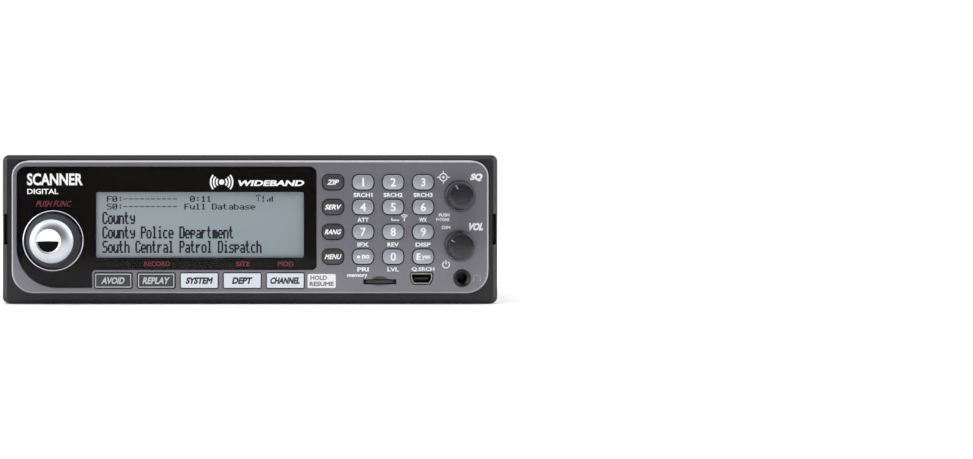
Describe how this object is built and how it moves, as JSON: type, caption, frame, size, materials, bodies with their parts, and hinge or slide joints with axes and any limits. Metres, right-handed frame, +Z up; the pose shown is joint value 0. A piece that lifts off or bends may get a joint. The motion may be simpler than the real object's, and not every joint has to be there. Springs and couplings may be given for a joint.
{
  "type": "police scanner",
  "caption": "Mobile radio scanner with dash-size nose, wide display, scroll knob, keypad, squelch and volume knobs, and rear sockets.",
  "frame": {"origin": "middle of the footprint of the whole radio, at the soles of its rubber feet", "axes": "+Z up, +X to the user's right, front panel facing -Y"},
  "size_m": [0.185, 0.1666, 0.0557],
  "materials": {
    "black_plastic": "fine moulded grain",
    "silver_paint": "satin silver-grey metallic paint on a plastic moulding",
    "clear_lens": "clear polished acrylic",
    "black_film": "black printed film",
    "bright_ring": "polished",
    "display_glass": "grey liquid crystal display",
    "white_plastic": "moulded",
    "grey_silicone": "moulded silicone",
    "circuit_board": "green solder mask",
    "dull_metal": "machined",
    "nickel": "nickel plated",
    "card_plastic": "moulded",
    "dark_knob": "soft satin",
    "polished_cap": "bright turned, polished dish",
    "black_steel": "black powder coat",
    "tinned_steel": "tin plated",
    "speaker_black": "black",
    "ribbon_grey": "flat cable",
    "socket_black": "moulded",
    "foot_rubber": "moulded",
    "screw_black": "black zinc",
    "dark_key": "satin",
    "grey_key": "satin",
    "silver_key": "satin, pale"
  },
  "bodies": {
    "radio": {"trim_bezel": "black_plastic", "front_panel": "silver_paint", "display_lens": "clear_lens", "lens_mask": "black_film", "knob_ring": "bright_ring", "lcd_panel": "display_glass", "lcd_backlight": "white_plastic", "keypad_mat": "grey_silicone", "front_board": "circuit_board", "socket_board": "circuit_board", "main_board": "circuit_board", "scroll_encoder": "dull_metal", "rotary_pots": "dull_metal", "headphone_jack": "screw_black", "usb_port": "screw_black", "card_socket": "nickel", "chassis": "black_steel", "top_cover": "black_steel", "shield_cans": "tinned_steel", "speaker": "speaker_black", "ribbon_cable": "ribbon_grey", "antenna_connector": "nickel", "serial_port": "nickel", "host_port": "nickel", "power_jack": "socket_black", "audio_jacks": "socket_black", "rubber_feet": "foot_rubber", "screws": "screw_black"},
    "key_place": {"key_place": "dark_key"},
    "key_service": {"key_service": "dark_key"},
    "key_range": {"key_range": "dark_key"},
    "key_menu": {"key_menu": "dark_key"},
    "key_1": {"key_1": "grey_key"},
    "key_2": {"key_2": "grey_key"},
    "key_3": {"key_3": "grey_key"},
    "key_4": {"key_4": "grey_key"},
    "key_5": {"key_5": "grey_key"},
    "key_6": {"key_6": "grey_key"},
    "key_7": {"key_7": "grey_key"},
    "key_8": {"key_8": "grey_key"},
    "key_9": {"key_9": "grey_key"},
    "key_no": {"key_no": "grey_key"},
    "key_0": {"key_0": "grey_key"},
    "key_yes": {"key_yes": "grey_key"},
    "key_skip": {"key_skip": "dark_key"},
    "key_replay": {"key_replay": "dark_key"},
    "key_system": {"key_system": "silver_key"},
    "key_group": {"key_group": "silver_key"},
    "key_channel": {"key_channel": "silver_key"},
    "memory_card": {"memory_card": "card_plastic"},
    "scroll_push": {"scroll_plunger": "white_plastic"},
    "scroll_turn": {"scroll_knob": "dark_knob", "scroll_cap": "polished_cap", "scroll_shaft": "dull_metal"},
    "squelch_push": {"squelch_plunger": "white_plastic"},
    "squelch_turn": {"squelch_knob": "dark_knob", "squelch_shaft": "dull_metal"},
    "volume_push": {"volume_plunger": "white_plastic"},
    "volume_turn": {"volume_knob": "dark_knob", "volume_shaft": "dull_metal"}
  },
  "joints": [
    {"name": "key_place_press", "type": "slide", "parent": "radio", "child": "key_place", "axis": [0, 1, 0], "range_m": [0, 0.0008], "stiffness_N_per_m": 400, "springref_m": -0.002},
    {"name": "key_service_press", "type": "slide", "parent": "radio", "child": "key_service", "axis": [0, 1, 0], "range_m": [0, 0.0008], "stiffness_N_per_m": 400, "springref_m": -0.002},
    {"name": "key_range_press", "type": "slide", "parent": "radio", "child": "key_range", "axis": [0, 1, 0], "range_m": [0, 0.0008], "stiffness_N_per_m": 400, "springref_m": -0.002},
    {"name": "key_menu_press", "type": "slide", "parent": "radio", "child": "key_menu", "axis": [0, 1, 0], "range_m": [0, 0.0008], "stiffness_N_per_m": 400, "springref_m": -0.002},
    {"name": "key_1_press", "type": "slide", "parent": "radio", "child": "key_1", "axis": [0, 1, 0], "range_m": [0, 0.0008], "stiffness_N_per_m": 400, "springref_m": -0.002},
    {"name": "key_2_press", "type": "slide", "parent": "radio", "child": "key_2", "axis": [0, 1, 0], "range_m": [0, 0.0008], "stiffness_N_per_m": 400, "springref_m": -0.002},
    {"name": "key_3_press", "type": "slide", "parent": "radio", "child": "key_3", "axis": [0, 1, 0], "range_m": [0, 0.0008], "stiffness_N_per_m": 400, "springref_m": -0.002},
    {"name": "key_4_press", "type": "slide", "parent": "radio", "child": "key_4", "axis": [0, 1, 0], "range_m": [0, 0.0008], "stiffness_N_per_m": 400, "springref_m": -0.002},
    {"name": "key_5_press", "type": "slide", "parent": "radio", "child": "key_5", "axis": [0, 1, 0], "range_m": [0, 0.0008], "stiffness_N_per_m": 400, "springref_m": -0.002},
    {"name": "key_6_press", "type": "slide", "parent": "radio", "child": "key_6", "axis": [0, 1, 0], "range_m": [0, 0.0008], "stiffness_N_per_m": 400, "springref_m": -0.002},
    {"name": "key_7_press", "type": "slide", "parent": "radio", "child": "key_7", "axis": [0, 1, 0], "range_m": [0, 0.0008], "stiffness_N_per_m": 400, "springref_m": -0.002},
    {"name": "key_8_press", "type": "slide", "parent": "radio", "child": "key_8", "axis": [0, 1, 0], "range_m": [0, 0.0008], "stiffness_N_per_m": 400, "springref_m": -0.002},
    {"name": "key_9_press", "type": "slide", "parent": "radio", "child": "key_9", "axis": [0, 1, 0], "range_m": [0, 0.0008], "stiffness_N_per_m": 400, "springref_m": -0.002},
    {"name": "key_no_press", "type": "slide", "parent": "radio", "child": "key_no", "axis": [0, 1, 0], "range_m": [0, 0.0008], "stiffness_N_per_m": 400, "springref_m": -0.002},
    {"name": "key_0_press", "type": "slide", "parent": "radio", "child": "key_0", "axis": [0, 1, 0], "range_m": [0, 0.0008], "stiffness_N_per_m": 400, "springref_m": -0.002},
    {"name": "key_yes_press", "type": "slide", "parent": "radio", "child": "key_yes", "axis": [0, 1, 0], "range_m": [0, 0.0008], "stiffness_N_per_m": 400, "springref_m": -0.002},
    {"name": "key_skip_press", "type": "slide", "parent": "radio", "child": "key_skip", "axis": [0, 1, 0], "range_m": [0, 0.0008], "stiffness_N_per_m": 400, "springref_m": -0.002},
    {"name": "key_replay_press", "type": "slide", "parent": "radio", "child": "key_replay", "axis": [0, 1, 0], "range_m": [0, 0.0008], "stiffness_N_per_m": 400, "springref_m": -0.002},
    {"name": "key_system_press", "type": "slide", "parent": "radio", "child": "key_system", "axis": [0, 1, 0], "range_m": [0, 0.0008], "stiffness_N_per_m": 400, "springref_m": -0.002},
    {"name": "key_group_press", "type": "slide", "parent": "radio", "child": "key_group", "axis": [0, 1, 0], "range_m": [0, 0.0008], "stiffness_N_per_m": 400, "springref_m": -0.002},
    {"name": "key_channel_press", "type": "slide", "parent": "radio", "child": "key_channel", "axis": [0, 1, 0], "range_m": [0, 0.0008], "stiffness_N_per_m": 400, "springref_m": -0.002},
    {"name": "scroll_press", "type": "slide", "parent": "radio", "child": "scroll_push", "axis": [0, 1, 0], "range_m": [0, 0.0005], "stiffness_N_per_m": 1500, "springref_m": -0.001},
    {"name": "scroll_spin", "type": "hinge", "parent": "scroll_push", "child": "scroll_turn", "pos_m": [-0.0734, -0.0757, 0.0237], "axis": [0, 1, 0], "continuous": true},
    {"name": "squelch_press", "type": "slide", "parent": "radio", "child": "squelch_push", "axis": [0, 1, 0], "range_m": [0, 0.0005], "stiffness_N_per_m": 1500, "springref_m": -0.001},
    {"name": "squelch_spin", "type": "hinge", "parent": "squelch_push", "child": "squelch_turn", "pos_m": [0.0782, -0.0757, 0.0404], "axis": [0, 1, 0], "range_deg": [-120.5, 179.5]},
    {"name": "volume_press", "type": "slide", "parent": "radio", "child": "volume_push", "axis": [0, 1, 0], "range_m": [0, 0.0005], "stiffness_N_per_m": 1500, "springref_m": -0.001},
    {"name": "volume_spin", "type": "hinge", "parent": "volume_push", "child": "volume_turn", "pos_m": [0.0782, -0.0757, 0.0218], "axis": [0, 1, 0], "range_deg": [-90.5, 209.5]},
    {"name": "card_slide", "type": "slide", "parent": "radio", "child": "memory_card", "axis": [0, -1, 0], "range_m": [-0.0008, 0.017]}
  ]
}
